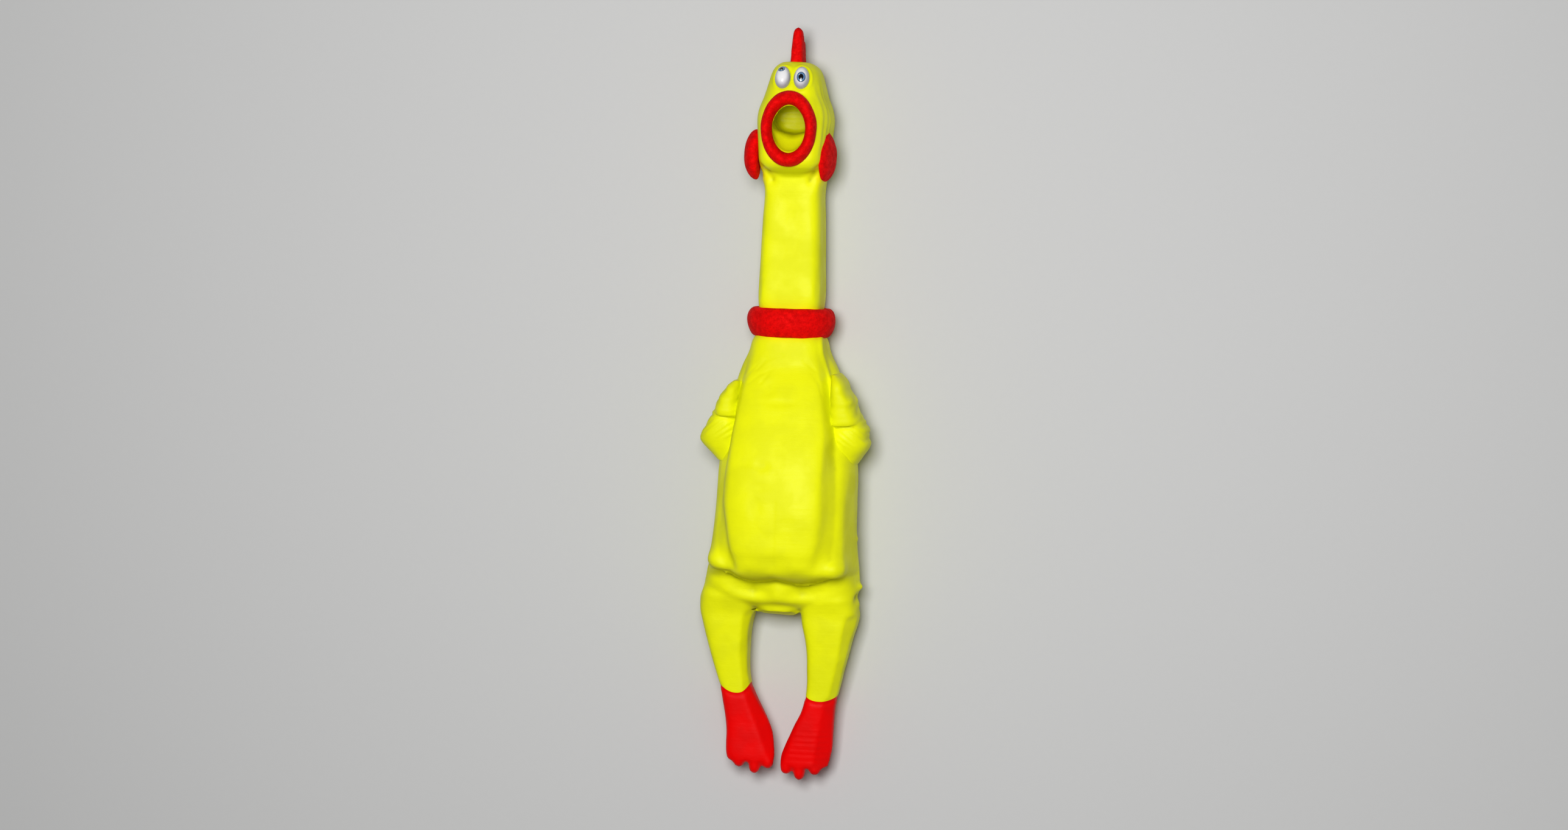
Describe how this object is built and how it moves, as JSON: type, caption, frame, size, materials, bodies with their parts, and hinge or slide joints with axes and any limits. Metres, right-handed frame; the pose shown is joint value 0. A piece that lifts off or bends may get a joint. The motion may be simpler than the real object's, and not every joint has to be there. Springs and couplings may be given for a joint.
{
  "type": "rubber chicken",
  "caption": "Hollow vinyl rubber chicken that screams when squeezed: long bending neck with a red collar, gaping mouth, folded wings, bending legs and feet, squeaker in the neck.",
  "frame": {"origin": "middle of the flat patch that the back lies on", "axes": "+Y from the hips to the head, +Z the way the belly faces, +X the chicken's own left"},
  "size_m": [0.0906, 0.3998, 0.068],
  "materials": {
    "yellow_vinyl": "satin moulded vinyl with soft dents and creases",
    "red_rubber": "soft red rubber with a fine mottled grain",
    "red_vinyl": "smooth red paint over vinyl",
    "eye_white": "gloss white",
    "iris_blue": "gloss steel blue",
    "pupil_black": "gloss black",
    "squeaker_plastic": "plain moulded",
    "reed_block_plastic": "plain moulded",
    "bung_rubber": "matte",
    "reed_brass": "rolled strip"
  },
  "bodies": {
    "torso": {"back_shell": "yellow_vinyl", "flank_skin": "yellow_vinyl", "tail_nub": "yellow_vinyl", "left_wing_root": "yellow_vinyl", "right_wing_root": "yellow_vinyl", "left_hip_skin": "yellow_vinyl", "right_hip_skin": "yellow_vinyl", "neck_root_skin": "yellow_vinyl"},
    "belly": {"belly_shell": "yellow_vinyl"},
    "neck_base": {"neck_ring": "yellow_vinyl", "collar": "red_rubber", "neck_fold_skin": "yellow_vinyl"},
    "neck": {"neck_tube": "yellow_vinyl", "throat_skin": "yellow_vinyl", "squeaker_bung": "bung_rubber", "squeaker_barrel": "squeaker_plastic", "squeaker_cap": "squeaker_plastic", "reed_block": "reed_block_plastic"},
    "reed": {"reed": "reed_brass"},
    "head": {"head_shell": "yellow_vinyl", "lip_ring": "red_rubber", "left_wattle": "red_rubber", "right_wattle": "red_rubber", "comb": "red_rubber", "left_eye": "eye_white", "right_eye": "eye_white", "left_iris": "iris_blue", "right_iris": "iris_blue", "left_pupil": "pupil_black", "right_pupil": "pupil_black", "eye_washers": "squeaker_plastic"},
    "left_wing": {"left_wing": "yellow_vinyl"},
    "right_wing": {"right_wing": "yellow_vinyl"},
    "left_leg": {"left_leg": "yellow_vinyl", "left_ankle_skin": "red_vinyl"},
    "right_leg": {"right_leg": "yellow_vinyl", "right_ankle_skin": "red_vinyl"},
    "left_foot": {"left_foot": "red_vinyl"},
    "right_foot": {"right_foot": "red_vinyl"}
  },
  "joints": [
    {"name": "neck_side", "type": "hinge", "parent": "torso", "child": "neck_base", "pos_m": [0, 0.06578, 0.024], "axis": [0, 0, 1], "range_deg": [-30, 30], "stiffness_Nm_per_rad": 2, "deforming": ["neck_root_skin"]},
    {"name": "neck_nod", "type": "hinge", "parent": "neck_base", "child": "neck", "pos_m": [0, 0.09678, 0.024], "axis": [1, 0, 0], "range_deg": [-40, 45], "stiffness_Nm_per_rad": 2, "deforming": ["neck_fold_skin"]},
    {"name": "head_nod", "type": "hinge", "parent": "neck", "child": "head", "pos_m": [0, 0.15278, 0.024], "axis": [1, 0, 0], "range_deg": [-25, 35], "stiffness_Nm_per_rad": 1.2, "deforming": ["throat_skin"]},
    {"name": "left_hip_swing", "type": "hinge", "parent": "torso", "child": "left_leg", "pos_m": [0.0265, -0.07322, 0.022], "axis": [-1, 0, 0], "range_deg": [-30, 50], "stiffness_Nm_per_rad": 0.6, "deforming": ["left_hip_skin"]},
    {"name": "left_ankle_swing", "type": "hinge", "parent": "left_leg", "child": "left_foot", "pos_m": [0.0235, -0.12122, 0.022], "axis": [-1, 0, 0], "range_deg": [-40, 40], "stiffness_Nm_per_rad": 0.2, "deforming": ["left_ankle_skin"]},
    {"name": "right_hip_swing", "type": "hinge", "parent": "torso", "child": "right_leg", "pos_m": [-0.0265, -0.07322, 0.022], "axis": [-1, 0, 0], "range_deg": [-30, 50], "stiffness_Nm_per_rad": 0.6, "deforming": ["right_hip_skin"]},
    {"name": "right_ankle_swing", "type": "hinge", "parent": "right_leg", "child": "right_foot", "pos_m": [-0.0235, -0.11722, 0.022], "axis": [-1, 0, 0], "range_deg": [-40, 40], "stiffness_Nm_per_rad": 0.2, "deforming": ["right_ankle_skin"]},
    {"name": "left_wing_flap", "type": "hinge", "parent": "torso", "child": "left_wing", "pos_m": [0.0305, 0.05086, 0.03128], "axis": [0, 0, 1], "range_deg": [0, 35], "stiffness_Nm_per_rad": 0.08, "deforming": ["left_wing_root"]},
    {"name": "right_wing_flap", "type": "hinge", "parent": "torso", "child": "right_wing", "pos_m": [-0.0305, 0.05086, 0.03128], "axis": [0, 0, -1], "range_deg": [0, 35], "stiffness_Nm_per_rad": 0.08, "deforming": ["right_wing_root"]},
    {"name": "belly_squeeze", "type": "slide", "parent": "torso", "child": "belly", "axis": [0, 0, -1], "range_m": [0, 0.014], "stiffness_N_per_m": 600, "deforming": ["flank_skin"]},
    {"name": "reed_flutter", "type": "hinge", "parent": "neck", "child": "reed", "pos_m": [0, 0.11678, 0.0246], "axis": [1, 0, 0], "range_deg": [-1, 4], "stiffness_Nm_per_rad": 0.01}
  ]
}
